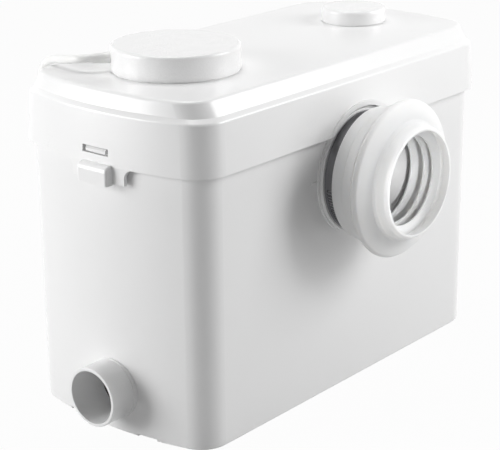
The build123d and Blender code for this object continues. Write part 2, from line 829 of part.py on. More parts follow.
for level, bearing_name in ((lower_bearing, "lower_bearing"), (upper_bearing, "upper_bearing")):
    with BuildPart() as bearing:
        motor_disc(level, bearing_radius, bearing_height)
        motor_disc(level, shaft_radius + running_gap, bearing_height, Mode.SUBTRACT)
        for face_level in (level, level + bearing_height - bearing_race / 3):
            with BuildSketch(Plane.XY.offset(face_level)) as race:
                with Locations((motor_x, 0)):
                    Circle(bearing_radius - bearing_race)
                    Circle(shaft_radius + bearing_race, mode=Mode.SUBTRACT)
            extrude(race.sketch, amount=bearing_race / 3, mode=Mode.SUBTRACT)
    export(bearing.part, bearing_name)

# Pump head: column, volute, slotted basket, impeller and cutter
column_low = volute_top
column_height = can_low - column_low
with BuildPart() as pump_column:
    motor_disc(column_low, volute_radius, flange_thickness)
    motor_disc(can_low - flange_thickness, can_radius, flange_thickness)
    motor_disc(column_low, column_radius, column_height)
    motor_disc(column_low + flange_thickness, column_radius - volute_wall, column_height, Mode.SUBTRACT)
    with Locations((motor_x, 0, column_low + column_height / 2)):
        with PolarLocations((column_radius + can_radius - volute_wall - rib_thickness) / 2, column_ribs):
            Box(can_radius - column_radius - rib_thickness, rib_thickness, column_height)
    motor_disc(column_low, seal_radius + volute_wall, flange_thickness + seal_height / 3)
    motor_disc(column_low + flange_thickness, seal_radius, seal_height, Mode.SUBTRACT)
    motor_disc(column_low, shaft_radius + air_gap, column_height, Mode.SUBTRACT)
export(pump_column.part, "pump_column")

with BuildPart() as shaft_seal:
    motor_disc(column_low + flange_thickness, seal_radius, seal_height)
    motor_disc(column_low + flange_thickness, shaft_radius + running_gap, seal_height, Mode.SUBTRACT)
    top_edges = shaft_seal.edges().filter_by(GeomType.CIRCLE).group_by(Axis.Z)[-1]
    fillet(top_edges.sort_by(SortBy.RADIUS)[-1], seal_height / 4)
export(shaft_seal.part, "shaft_seal")

pipe_level = volute_low + volute_height / 2
pipe_start = motor_x + volute_radius - volute_wall / 2
valve_box_low = outlet_height - valve_box_height / 2
valve_y = front_wall - wall - valve_box_depth / 2
with BuildPart() as volute:
    motor_disc(volute_low, volute_radius, volute_height)
    motor_disc(volute_low + volute_wall, volute_radius - volute_wall, volute_height - volute_wall, Mode.SUBTRACT)
    with BuildSketch(Plane(origin=(motor_x, 0, pipe_level), x_dir=(0, 1, 0), z_dir=(1, 0, 0))) as port:
        Circle(pipe_radius)
    extrude(port.sketch, amount=volute_radius + volute_wall)
    motor_disc(volute_low + volute_wall, volute_radius - volute_wall, volute_height - volute_wall, Mode.SUBTRACT)
    with BuildSketch(Plane(origin=(motor_x, 0, pipe_level), x_dir=(0, 1, 0), z_dir=(1, 0, 0))) as port_bore:
        Circle(pipe_radius - pipe_wall)
    extrude(port_bore.sketch, amount=volute_radius + 2 * volute_wall, mode=Mode.SUBTRACT)
    motor_disc(volute_low, inlet_eye, volute_wall, Mode.SUBTRACT)
export(volute.part, "volute")

with BuildPart() as basket:
    motor_disc(tank_floor, basket_radius, basket_top - tank_floor)
    motor_disc(tank_floor, basket_radius - basket_wall, basket_top - tank_floor - basket_wall, Mode.SUBTRACT)
    motor_disc(basket_top - basket_wall, inlet_eye, basket_wall, Mode.SUBTRACT)
    with Locations((motor_x, 0, (tank_floor + basket_top) / 2)):
        with PolarLocations(basket_radius, basket_slots):
            Box(
                6 * basket_wall,
                basket_slot_width,
                basket_top - tank_floor - 2 * basket_low_ring,
                mode=Mode.SUBTRACT,
            )
export(basket.part, "basket")

vane_low = volute_low + volute_wall + lift_gap * 3
with BuildPart() as impeller:
    motor_disc(vane_low + impeller_vane_height, impeller_radius, impeller_plate)
    motor_disc(vane_low, hub_radius, impeller_vane_height)
    for turn in range(impeller_vanes):
        turn_angle = math.radians(turn * 360 / impeller_vanes)
        swept = math.radians(360 / impeller_vanes / 2)
        vane_end = impeller_radius - impeller_vane_thickness
        with BuildSketch(Plane.XY.offset(vane_low)) as vane:
            with BuildLine() as vane_line:
                ThreePointArc(
                    (motor_x + hub_radius * math.cos(turn_angle), hub_radius * math.sin(turn_angle)),
                    (
                        motor_x + (hub_radius + vane_end) / 2 * math.cos(turn_angle - swept / 3),
                        (hub_radius + vane_end) / 2 * math.sin(turn_angle - swept / 3),
                    ),
                    (
                        motor_x + vane_end * math.cos(turn_angle - swept),
                        vane_end * math.sin(turn_angle - swept),
                    ),
                )
                offset(amount=impeller_vane_thickness / 2)
            make_face(vane_line.edges())
        extrude(vane.sketch, amount=impeller_vane_height)
    motor_disc(vane_low, shaft_radius, impeller_vane_height + impeller_plate, Mode.SUBTRACT)
export(impeller.part, "impeller")

with BuildPart() as cutter:
    motor_disc(cutter_height, hub_radius, 2 * cutter_thickness)
    with Locations((motor_x, 0, cutter_height)):
        Box(
            2 * cutter_radius,
            cutter_width,
            cutter_thickness,
            align=(Align.CENTER, Align.CENTER, Align.MIN),
        )
    for side in (-1, 1):
        tip_x = motor_x + side * (cutter_radius - cutter_thickness / 2)
        with Locations((tip_x, 0, cutter_height)):
            Box(
                cutter_thickness,
                cutter_width,
                cutter_width,
                align=(Align.CENTER, Align.CENTER, Align.MAX),
            )
    chamfer(cutter.edges().filter_by(Axis.X).group_by(Axis.Z)[-2], cutter_thickness / 3)
    motor_disc(cutter_height, shaft_radius, 2 * cutter_thickness, Mode.SUBTRACT)
export(cutter.part, "cutter")

# Discharge pipe, check valve box behind the outlet, its flap and pin
valve_port_y = valve_y
pipe_points = [
    (pipe_start + 2 * volute_wall, 0, pipe_level),
    (outlet_x, 0, pipe_level),
    (outlet_x, valve_port_y, pipe_level),
    (outlet_x, valve_port_y, valve_box_low),
]
with BuildPart() as discharge_pipe:
    with BuildLine() as pipe_route:
        FilletPolyline(*pipe_points, radius=pipe_bend)
    with BuildSketch(Plane(origin=pipe_points[0], z_dir=(1, 0, 0))):
        Circle(pipe_radius)
        Circle(pipe_radius - pipe_wall, mode=Mode.SUBTRACT)
    sweep(path=pipe_route.wires()[0])
export(discharge_pipe.part, "discharge_pipe")

valve_inner = valve_box_width - 2 * valve_box_wall
valve_seat = valve_box_low + valve_box_wall
valve_hinge_y = valve_port_y - valve_flap_radius - barrel_radius / 2
valve_hinge_z = valve_seat + flap_gap + barrel_radius
with BuildPart() as valve_box:
    with Locations((outlet_x, valve_y, outlet_height)):
        Box(valve_box_width, valve_box_depth, valve_box_height)
        Box(
            valve_inner,
            valve_box_depth - 2 * valve_box_wall,
            valve_box_height - 2 * valve_box_wall,
            mode=Mode.SUBTRACT,
        )
    with BuildSketch(outlet_plane.offset(valve_y)):
        Circle(outlet_bore)
    extrude(amount=valve_box_depth, mode=Mode.SUBTRACT)
    with Locations((outlet_x, valve_port_y, valve_box_low)):
        Cylinder(pipe_radius - pipe_wall, 4 * valve_box_wall, mode=Mode.SUBTRACT)
    with Locations(Location((outlet_x, valve_hinge_y, valve_hinge_z), (0, 90, 0))):
        Cylinder(pin_radius + fit_gap / 2, valve_box_width + overrun, mode=Mode.SUBTRACT)
export(valve_box.part, "valve_box")

with BuildPart() as valve_flap:
    with BuildSketch(Plane.XY.offset(valve_seat + flap_gap)):
        with Locations((outlet_x, valve_port_y)):
            Circle(valve_flap_radius)
        with Locations((outlet_x, valve_hinge_y + valve_flap_radius / 4)):
            Rectangle(valve_flap_radius, valve_flap_radius / 2)
    extrude(amount=valve_flap_thickness)
    with Locations(Location((outlet_x, valve_hinge_y, valve_hinge_z), (0, 90, 0))):
        Cylinder(barrel_radius, valve_flap_radius)
        Cylinder(pin_radius + running_gap, valve_flap_radius, mode=Mode.SUBTRACT)
export(valve_flap.part, "valve_flap")

with BuildPart() as valve_pin:
    with Locations(Location((outlet_x, valve_hinge_y, valve_hinge_z), (0, 90, 0))):
        Cylinder(pin_radius, valve_box_width)
export(valve_pin.part, "valve_pin")

# Pressure switch: dip tube, rubber diaphragm, housing, plunger, microswitch and lever
diaphragm_top = tube_top + switch_flange_height + diaphragm_thickness
switch_floor = diaphragm_top + plunger_disc + plunger_travel + lift_gap


def switch_disc(level, radius, height, mode=Mode.ADD):
    """Extrude a round disc about the pressure switch's axis."""
    with BuildSketch(Plane.XY.offset(level)) as disc:
        with Locations((switch_x, switch_y)):
            Circle(radius)
    extrude(disc.sketch, amount=height, mode=mode)


with BuildPart() as pressure_tube:
    switch_disc(tank_floor, tube_radius, tube_top - tank_floor)
    switch_disc(tube_top, switch_flange_radius, switch_flange_height)
    switch_disc(tank_floor, tube_radius - tube_wall, tube_top + switch_flange_height, Mode.SUBTRACT)
    with Locations((switch_x, switch_y, tank_floor)):
        Box(2 * switch_flange_radius, tube_notch_width, 2 * tube_notch_height, mode=Mode.SUBTRACT)
        Box(tube_notch_width, 2 * switch_flange_radius, 2 * tube_notch_height, mode=Mode.SUBTRACT)
export(pressure_tube.part, "pressure_tube")

with BuildPart() as diaphragm:
    switch_disc(tube_top + switch_flange_height, switch_flange_radius, diaphragm_thickness)
export(diaphragm.part, "diaphragm")

with BuildPart() as switch_housing:
    switch_disc(diaphragm_top, switch_flange_radius, switch_box_height)
    switch_disc(
        diaphragm_top,
        switch_flange_radius - switch_box_wall,
        switch_floor - diaphragm_top,
        Mode.SUBTRACT,
    )
    switch_disc(
        switch_floor + switch_box_wall,
        switch_flange_radius - switch_box_wall,
        switch_box_height,
        Mode.SUBTRACT,
    )
    switch_disc(switch_floor, plunger_stem + running_gap, switch_box_wall, Mode.SUBTRACT)
export(switch_housing.part, "switch_housing")

with BuildPart() as switch_lid:
    switch_disc(diaphragm_top + switch_box_height, switch_flange_radius, switch_box_wall)
export(switch_lid.part, "switch_lid")

with BuildPart() as plunger:
    switch_disc(diaphragm_top, plunger_radius, plunger_disc)
    switch_disc(diaphragm_top, plunger_stem, plunger_disc + plunger_length)
    fillet(plunger.faces().sort_by(Axis.Z)[-1].edges(), plunger_tip_share * plunger_stem)
export(plunger.part, "plunger")

lever_level = diaphragm_top + plunger_disc + plunger_length + fit_gap
lever_pivot = switch_x + lever_length
micro_low = switch_floor + switch_box_wall
with BuildPart() as microswitch:
    with Locations((lever_pivot, switch_y + lever_width + micro_width / 2, micro_low)):
        Box(
            micro_length,
            micro_width,
            lever_level - micro_low + micro_height / 2,
            align=(Align.CENTER, Align.CENTER, Align.MIN),
        )
    with Locations(Location((lever_pivot, switch_y + lever_width / 2, lever_level + pin_radius), (90, 0, 0))):
        Cylinder(pin_radius, 2 * lever_width)
export(microswitch.part, "microswitch")

with BuildPart() as switch_lever:
    with Locations((lever_pivot, switch_y, lever_level)):
        Box(
            lever_length + plunger_stem,
            lever_width,
            lever_thickness,
            align=(Align.MAX, Align.CENTER, Align.MIN),
        )
    with Locations(Location((lever_pivot, switch_y, lever_level + pin_radius), (90, 0, 0))):
        Cylinder(pin_radius + lever_thickness + running_gap, lever_width)
        Cylinder(pin_radius + running_gap, lever_width, mode=Mode.SUBTRACT)
export(switch_lever.part, "switch_lever")

# Capacitor and terminal box under the lid
with BuildPart() as capacitor:
    with BuildSketch(Plane.XY.offset(lid_under - capacitor_height)):
        with Locations((capacitor_x, capacitor_y)):
            Circle(capacitor_radius)
    extrude(amount=capacitor_height)
    fillet(capacitor.faces().sort_by(Axis.Z)[0].edges(), capacitor_radius / 6)
export(capacitor.part, "capacitor")

with BuildPart() as terminal_box:
    with Locations((terminal_x, -terminal_y, lid_under)):
        Box(
            terminal_length,
            terminal_width,
            terminal_height,
            align=(Align.CENTER, Align.CENTER, Align.MAX),
        )
    fillet(terminal_box.edges().filter_by(Axis.Z), terminal_height / 6)
export(terminal_box.part, "terminal_box")

# Cord boot: smooth tapered strain relief, set in the cover's side
boot_tip = cover_wall + boot_length
with BuildPart() as cord_boot:
    with BuildSketch(boot_plane.offset(cover_wall)):
        Circle(boot_root_radius)
    with BuildSketch(boot_plane.offset(boot_tip)):
        Circle(cord_radius + boot_end_wall)
    loft()
    with BuildSketch(boot_plane.offset(-cover_wall)):
        Circle(boot_neck_radius - running_gap)
    extrude(amount=3 * cover_wall)
export(cord_boot.part, "cord_boot")


# Cord: over the lid's back edge, down behind the tank and along the floor to a coil
def corner_radii(points):
    """Give each corner the arc radius that 0.45 of its shorter run allows."""
    radii = []
    for place in range(1, len(points) - 1):
        before = Vector(*points[place]) - Vector(*points[place - 1])
        after = Vector(*points[place + 1]) - Vector(*points[place])
        half_turn = math.radians(before.get_angle(after)) / 2
        free_end = 2 if place == 1 else 1
        radii.append(run_share * min(free_end * before.length, after.length) / math.tan(half_turn))
    return radii


cord_exit = boot_start + boot_direction * boot_tip
coil_level = cord_radius + tie_gap + tie_thickness
coil_side = coil_y - coil_outer_turn
coil_entry = (coil_x - 2 * cord_radius, coil_side, coil_level)
cord_turn = cord_exit + boot_direction * cord_lead
cord_points = [
    (cord_exit.X, cord_exit.Y, cord_exit.Z),
    (cord_turn.X, cord_turn.Y, cord_turn.Z),
    *cord_over_edge,
    *cord_behind,
    *[(x, y, coil_level) for x, y in cord_on_floor],
    (coil_entry[0] - running_gap, coil_side, coil_level),
]
cord_bends = corner_radii(cord_points)
with BuildPart() as supply_cord:
    with BuildLine() as cord_route:
        FilletPolyline(*cord_points, radius=cord_bends)
    with BuildSketch(Plane(origin=cord_points[0], z_dir=boot_direction)):
        Circle(cord_radius)
    sweep(path=cord_route.wires()[0])
export(supply_cord.part, "supply_cord")
section = math.pi * cord_radius**2
print("cord bend radii", [round(bend, 1) for bend in cord_bends])
print("cord volume share", supply_cord.part.volume / (section * cord_route.wires()[0].length))

# Coil: loops from half circles that step inwards, climb one layer and step out again
coil_turns = [coil_outer_turn - step * coil_pitch / 2 for step in range(4)]
climb_turn = coil_turns[-1] - coil_pitch / 2
with BuildPart() as cord_coil:
    with BuildLine() as coil_route:
        place = Vector(coil_x, coil_side, coil_level)
        heading = 1
        Line(coil_entry, place)
        for turn in coil_turns + [climb_turn] + coil_turns[:0:-1]:
            rise = layer_rise if turn == climb_turn else 0
            goal = place + Vector(0, 2 * turn * heading, rise)
            middle = (place + goal) / 2 + Vector(turn * heading, 0, 0)
            ThreePointArc(place, middle, goal)
            place = goal
            heading = -heading
        coil_end = place + Vector(2 * cord_radius, 0, 0)
        Line(place, coil_end)
    with BuildSketch(Plane(origin=coil_entry, z_dir=(1, 0, 0))):
        Circle(cord_radius)
    sweep(path=coil_route.wires()[0])
export(cord_coil.part, "cord_coil")

coil_path = coil_route.wires()[0]
print("coil volume share", cord_coil.part.volume / (section * coil_path.length))
samples = 600
spots = [coil_path @ (step / samples) for step in range(samples + 1)]
apart = round(samples * 6 * cord_radius / coil_path.length)
least = min(
    (spots[early] - spots[late]).length
    for early in range(len(spots))
    for late in range(early + apart, len(spots))
)
print("coil least gap", least - 2 * cord_radius)

# Tie around the coil's bundle, the free tail and the plug with its pins
bundle_low = coil_y + climb_turn - cord_radius - tie_gap
bundle_high = coil_y + coil_outer_turn + cord_radius + tie_gap
bundle_height = layer_rise + 2 * cord_radius + 2 * tie_gap
with BuildPart() as coil_tie:
    with Locations((coil_x, (bundle_low + bundle_high) / 2, coil_level + layer_rise / 2)):
        Box(tie_width, bundle_high - bundle_low + 2 * tie_thickness, bundle_height + 2 * tie_thickness)
        Box(2 * tie_width, bundle_high - bundle_low, bundle_height, mode=Mode.SUBTRACT)
export(coil_tie.part, "coil_tie")

plug_neck = coil_end + Vector(tail_length, tail_rise_shares[-1][1], plug_radius - coil_end.Z)
tail_points = [
    (coil_end.X + running_gap, coil_end.Y, coil_end.Z),
    *[
        (
            coil_end.X + share * tail_length,
            coil_end.Y + aside,
            coil_end.Z + rise * (plug_radius - coil_end.Z),
        )
        for share, aside, rise in tail_rise_shares
    ],
    (plug_neck.X, plug_neck.Y, plug_neck.Z),
]
with BuildPart() as cord_tail:
    with BuildLine() as tail_route:
        FilletPolyline(*tail_points, radius=corner_radii(tail_points))
    with BuildSketch(Plane(origin=tail_points[0], z_dir=(1, 0, 0))):
        Circle(cord_radius)
    sweep(path=tail_route.wires()[0])
export(cord_tail.part, "cord_tail")
print("tail bend radii", [round(bend, 1) for bend in corner_radii(tail_points)])
print("cord length", cord_route.wires()[0].length + coil_path.length + tail_route.wires()[0].length)

plug_plane = Plane(origin=plug_neck, x_dir=(0, 1, 0), z_dir=(1, 0, 0))
with BuildPart() as plug_body:
    with BuildSketch(plug_plane):
        Circle(cord_radius + tie_thickness)
    with BuildSketch(plug_plane.offset(plug_neck_length)):
        Circle(plug_neck_radius)
    loft()
    with BuildSketch(plug_plane.offset(plug_neck_length)):
        Circle(plug_radius)
    extrude(amount=plug_length)
    fillet(
        plug_body.edges().filter_by(GeomType.CIRCLE).group_by(SortBy.RADIUS)[-1].sort_by(Axis.X)[0],
        plug_round,
    )
export(plug_body.part, "plug_body")

with BuildPart() as plug_pins:
    with BuildSketch(plug_plane.offset(plug_neck_length + plug_length)):
        with GridLocations(plug_pin_spacing, 1, 2, 1):
            Circle(plug_pin_radius)
    extrude(amount=plug_pin_length)
    fillet(plug_pins.faces().sort_by(Axis.X)[-2:].edges(), plug_pin_radius / 2)
export(plug_pins.part, "plug_pins")
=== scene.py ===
import math

import bmesh
import bpy
from mathutils import Matrix, Vector


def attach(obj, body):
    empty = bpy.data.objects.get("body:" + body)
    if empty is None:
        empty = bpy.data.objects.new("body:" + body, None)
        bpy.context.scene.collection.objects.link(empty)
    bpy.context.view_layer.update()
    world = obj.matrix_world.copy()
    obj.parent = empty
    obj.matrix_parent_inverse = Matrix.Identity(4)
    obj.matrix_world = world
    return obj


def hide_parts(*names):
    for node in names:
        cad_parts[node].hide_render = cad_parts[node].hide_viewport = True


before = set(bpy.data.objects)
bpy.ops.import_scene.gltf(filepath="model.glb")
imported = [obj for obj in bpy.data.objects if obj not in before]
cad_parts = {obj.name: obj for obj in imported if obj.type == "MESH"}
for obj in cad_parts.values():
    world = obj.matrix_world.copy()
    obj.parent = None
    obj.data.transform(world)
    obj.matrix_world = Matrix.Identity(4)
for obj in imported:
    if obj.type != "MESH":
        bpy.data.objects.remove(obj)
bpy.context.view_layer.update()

# View: the camera that the casing's edges and circles give for the photograph,
# a long lens that stands to the front left and looks a little down.
view_place = Vector((-0.9634, -0.7984, 0.5474))
view_turn = math.radians(40.157)
view_drop = math.radians(19.051)
view_roll = math.radians(-0.513)
lens_length = 113.47
film_width = 36.0
view_reach = 20.0

ahead = Vector((
    math.cos(view_drop) * math.cos(view_turn),
    math.cos(view_drop) * math.sin(view_turn),
    -math.sin(view_drop),
))
level_right = Vector((math.sin(view_turn), -math.cos(view_turn), 0))
level_up = level_right.cross(ahead)
right = math.cos(view_roll) * level_right + math.sin(view_roll) * level_up
up = math.cos(view_roll) * level_up - math.sin(view_roll) * level_right
camera_data = bpy.data.cameras.new("camera")
camera_data.lens = lens_length
camera_data.sensor_width = film_width
camera_data.sensor_fit = "HORIZONTAL"
camera_data.clip_end = view_reach
camera = bpy.data.objects.new("camera", camera_data)
view_axes = Matrix((right, up, -ahead)).transposed().to_4x4()
camera.matrix_world = Matrix.Translation(view_place) @ view_axes
bpy.context.scene.collection.objects.link(camera)
bpy.context.scene.camera = camera
bpy.context.scene.view_settings.view_transform = "Standard"


# Tank: one thin-walled white moulding with a smooth glossy skin, which shows the
# faint ripple of the mould and a soft cloudiness of the colour. Its finish is the
# first of many, each a small node tree written as plain expressions on its sockets.
class Link:
    """One socket of a finish, which adds, multiplies and feeds further nodes."""

    def __init__(self, tree, socket):
        self.tree = tree
        self.socket = socket

    def node(self, kind, settings=None, inputs=None, output=0):
        """Add a node of one type, set it up, connect its inputs and return an output."""
        node = self.tree.nodes.new(kind)
        for name, value in (settings or {}).items():
            setattr(node, name, value)
        for name, value in (inputs or {}).items():
            if isinstance(value, Link):
                self.tree.links.new(value.socket, node.inputs[name])
            else:
                node.inputs[name].default_value = value
        return Link(self.tree, node.outputs[output])

    def beside(self, name):
        """Give another output of the node that this socket belongs to."""
        return Link(self.tree, self.socket.node.outputs[name])

    def show(self, kind="ShaderNodeOutputMaterial"):
        """Join this shader to the output of its tree."""
        output = self.tree.nodes.new(kind)
        self.tree.links.new(self.socket, output.inputs["Surface"])

    def _sum(self, operation, first, second):
        return self.node("ShaderNodeMath", {"operation": operation}, {0: first, 1: second})

    def __add__(self, other):
        return self._sum("ADD", self, other)

    def __radd__(self, other):
        return self._sum("ADD", other, self)

    def __mul__(self, other):
        return self._sum("MULTIPLY", self, other)

    def __rmul__(self, other):
        return self._sum("MULTIPLY", other, self)

    def blend(self, first, second):
        """Mix two colours by this socket."""
        return self.node(
            "ShaderNodeMix",
            {"data_type": "RGBA"},
            {"Factor": self, 6: (*first, 1), 7: (*second, 1)},
            2,
        )

    def grain(self, scale, detail=2.0, stretch=(1, 1, 1)):
        """Give smooth noise over this place, finer as the scale grows."""
        stretched = self.node("ShaderNodeMapping", {}, {"Vector": self, "Scale": stretch})
        return self.node(
            "ShaderNodeTexNoise",
            {},
            {"Vector": stretched, "Scale": scale, "Detail": detail},
        )

    def relief(self, height, strength=1.0):
        """Turn this value into a bump of that height in metres."""
        return self.node(
            "ShaderNodeBump",
            {},
            {"Height": self, "Distance": height, "Strength": strength},
        )


def surface_place(name):
    """Start a finish: its empty tree, and the place on the piece in metres."""
    material = bpy.data.materials.new(name)
    material.use_nodes = True
    tree = material.node_tree
    tree.nodes.clear()
    coordinates = tree.nodes.new("ShaderNodeTexCoord")
    return material, Link(tree, coordinates.outputs["Object"])


def finish_with(material, place, sockets):
    """End a finish with its main shader."""
    place.node("ShaderNodeBsdfPrincipled", {}, sockets).show()
    return material


def dress(names, material):
    """Give CAD nodes their finish."""
    for name in names:
        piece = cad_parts[name]
        piece.data.materials.clear()
        piece.data.materials.append(material)


def even(level):
    """Give the neutral colour of one brightness."""
    return (level, level, level)


def moulded_white(name, low, high, gloss):
    """Make one white moulded plastic, from its two close shades and its gloss."""
    material, place = surface_place(name)
    cloud = place.grain(14.0, 3.0)
    ripple = place.grain(160.0, 1.0)
    skin = place.grain(1400.0, 2.0)
    return finish_with(material, place, {
        "Base Color": cloud.blend(even(low), even(high)),
        "Roughness": cloud * 0.05 + skin * 0.05 + gloss,
        "Normal": (ripple * 0.6 + skin * 0.08).relief(0.00006, 0.35),
        "IOR": 1.5,
        "Coat Weight": 0.25,
        "Coat Roughness": 0.12,
    })


tank_plastic = moulded_white("tank_plastic", 0.855, 0.87, 0.3)
dress(["tank"], tank_plastic)

# Level mark: a small raised bar moulded on the tank's front beside the pan inlet.
# It is part of the same moulding, so it has the tank's plastic and soft edges.
mark_low = Vector((-51.5, -91.55, 180.6))
mark_high = Vector((-43.5, -90.6, 182.6))
mark_soft = 0.45
one_millimetre = 0.001
mark_mesh = bpy.data.meshes.new("level_mark")
shape = bmesh.new()
bmesh.ops.create_cube(shape, size=1.0)
mark_size = mark_high - mark_low
mark_middle = (mark_high + mark_low) / 2
for vertex in shape.verts:
    vertex.co = Vector(side * size for side, size in zip(vertex.co, mark_size)) + mark_middle
bmesh.ops.bevel(
    shape,
    geom=shape.edges[:],
    offset=mark_soft,
    segments=4,
    affect="EDGES",
    profile=0.5,
)
bmesh.ops.scale(shape, vec=(one_millimetre,) * 3, verts=shape.verts)
shape.to_mesh(mark_mesh)
shape.free()
mark_mesh.shade_smooth()
mark_mesh.materials.append(tank_plastic)
level_mark = bpy.data.objects.new("level_mark", mark_mesh)
bpy.context.scene.collection.objects.link(level_mark)
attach(level_mark, "casing")

# Basket, switch housing and terminal box: black moulded plastic with an eroded grain.
# The basket stands on the tank's floor under the pump, and the switch on its tube.
black_plastic, place = surface_place("black_plastic")
eroded = place.grain(700.0, 3.0)
finish_with(black_plastic, place, {
    "Base Color": eroded.blend((0.022, 0.022, 0.024), (0.035, 0.035, 0.038)),
    "Roughness": eroded * 0.15 + 0.42,
    "Normal": eroded.relief(0.0002, 0.4),
})
dress(
    ["basket", "switch_housing", "switch_lid", "microswitch", "terminal_box"],
    black_plastic,
)

# Pump body, valve box and switch parts: glass-filled grey plastic with a dull skin.
# The ribbed column hangs from the motor and carries the volute under it.
grey_plastic, place = surface_place("grey_plastic")
grey_cloud = place.grain(50.0, 4.0)
grey_skin = place.grain(1200.0, 3.0)
finish_with(grey_plastic, place, {
    "Base Color": grey_cloud.blend((0.13, 0.135, 0.145), (0.17, 0.175, 0.185)),
    "Roughness": grey_skin * 0.12 + 0.44,
    "Normal": grey_skin.relief(0.0001, 0.4),
})
dress(["pump_column", "volute", "impeller", "valve_box", "pressure_tube", "plunger"], grey_plastic)


# Cutter: a hardened stainless bar, ground along its length and bright at its edges.
# It turns in the basket on the lower end of the motor's shaft.
def worked_metal(name, marks, dull, bright, roughness, groove=None):
    """Make one bare metal, from its tool marks, two close shades and its roughness."""
    material, place = surface_place(name)
    lines = place.grain(*marks)
    spread, least = roughness
    sockets = {
        "Base Color": lines.blend(dull, bright),
        "Metallic": 1.0,
        "Roughness": lines * spread + least,
    }
    if groove:
        sockets["Normal"] = lines.relief(groove, 0.3)
    return finish_with(material, place, sockets)


cutter_steel = worked_metal(
    "cutter_steel",
    marks=(300.0, 3.0, (1, 10, 1)),
    dull=(0.45, 0.45, 0.47),
    bright=(0.6, 0.6, 0.62),
    roughness=(0.2, 0.22),
    groove=0.00005,
)
dress(["cutter"], cutter_steel)

# Shafts, pins and bearings: ground stainless steel with fine turning marks.
# The shaft runs from the cutter up to the motor's upper bearing, and the two pins
# carry the rubber flaps.
ground_steel = worked_metal(
    "ground_steel",
    marks=(900.0, 2.0, (1, 1, 8)),
    dull=(0.58, 0.58, 0.59),
    bright=(0.68, 0.68, 0.69),
    roughness=(0.1, 0.14),
)
dress(
    ["motor_shaft", "lower_bearing", "upper_bearing", "waste_flap_pin", "valve_pin"],
    ground_steel,
)

# Motor: a drawn aluminium can round a stack of sheet steel with copper windings.
# The stack shows its sheets as fine lines, and the windings their wire.
can_metal, place = surface_place("can_metal")
can_cloud = place.grain(40.0, 4.0)
can_lines = place.grain(500.0, 2.0, (1, 1, 10))
finish_with(can_metal, place, {
    "Base Color": can_cloud.blend((0.55, 0.56, 0.57), (0.66, 0.67, 0.68)),
    "Metallic": 1.0,
    "Roughness": can_lines * 0.15 + 0.3,
    "Normal": can_lines.relief(0.00005, 0.3),
})
dress(["motor_can", "capacitor"], can_metal)

sheet_stack, place = surface_place("sheet_stack")
sheets = place.node(
    "ShaderNodeTexWave",
    {"bands_direction": "Z", "wave_profile": "SAW"},
    {"Vector": place, "Scale": 320.0, "Distortion": 0.0},
    1,
)
finish_with(sheet_stack, place, {
    "Base Color": sheets.blend((0.16, 0.16, 0.17), (0.3, 0.3, 0.32)),
    "Metallic": 0.8,
    "Roughness": sheets * 0.15 + 0.4,
    "Normal": sheets.relief(0.0001, 0.5),
})
dress(["stator", "rotor_core"], sheet_stack)

copper_wire, place = surface_place("copper_wire")
wires = place.node(
    "ShaderNodeTexWave",
    {"wave_type": "RINGS", "rings_direction": "Z", "wave_profile": "SIN"},
    {"Vector": place, "Scale": 400.0, "Distortion": 2.0, "Detail": 2.0},
    1,
)
finish_with(copper_wire, place, {
    "Base Color": wires.blend((0.45, 0.17, 0.07), (0.72, 0.34, 0.16)),
    "Metallic": 0.85,
    "Roughness": wires * 0.15 + 0.28,
    "Normal": wires.relief(0.0004, 0.6),
})
dress(["windings"], copper_wire)

# Rubber seals and flaps: matt black moulded rubber with a fine bloom, for the lid's
# gasket, both flaps, the shaft seal, the diaphragm and the discharge pipe.
black_rubber, place = surface_place("black_rubber")
bloom = place.grain(60.0, 4.0)
rubber_skin = place.grain(1500.0, 2.0)
finish_with(black_rubber, place, {
    "Base Color": bloom.blend((0.02, 0.02, 0.021), (0.035, 0.035, 0.037)),
    "Roughness": bloom * 0.15 + 0.55,
    "Normal": rubber_skin.relief(0.0002, 0.3),
})
dress(
    ["lid_gasket", "waste_flap", "valve_flap", "shaft_seal", "diaphragm", "discharge_pipe"],
    black_rubber,
)

# Carbon filter: crumbs of active carbon held in black foam.
# It sits in the vent's tube under the cap and takes the smell out of the air.
carbon, place = surface_place("carbon")
crumbs = place.node(
    "ShaderNodeTexVoronoi",
    {"feature": "F1"},
    {"Vector": place, "Scale": 700.0},
)
finish_with(carbon, place, {
    "Base Color": crumbs.blend((0.035, 0.035, 0.036), (0.008, 0.008, 0.009)),
    "Roughness": crumbs * 0.3 + 0.6,
    "Normal": crumbs.relief(0.0006, 0.8),
})
dress(["carbon_filter"], carbon)

# Lid and latches: the tank's white plastic again, a shade lighter and glossier.
# The lid's skirt closes over the tank's rim, a black gasket lies between them, and
# the two sprung latches hook into the slots of its tongues.
lid_plastic = moulded_white("lid_plastic", 0.88, 0.895, 0.24)
dress(["lid", "latch_left", "latch_right"], lid_plastic)

# Motor cover, vent cap and inlet ring: glossier white plastic than the casing's.
# The cover and the cap are moulded cups on the lid, each over a thin dark gap, and
# the ring is pressed on the inlet's boss behind the sleeve.
trim_plastic = moulded_white("trim_plastic", 0.885, 0.9, 0.22)
dress(["motor_cover", "vent_cap", "inlet_ring"], trim_plastic)

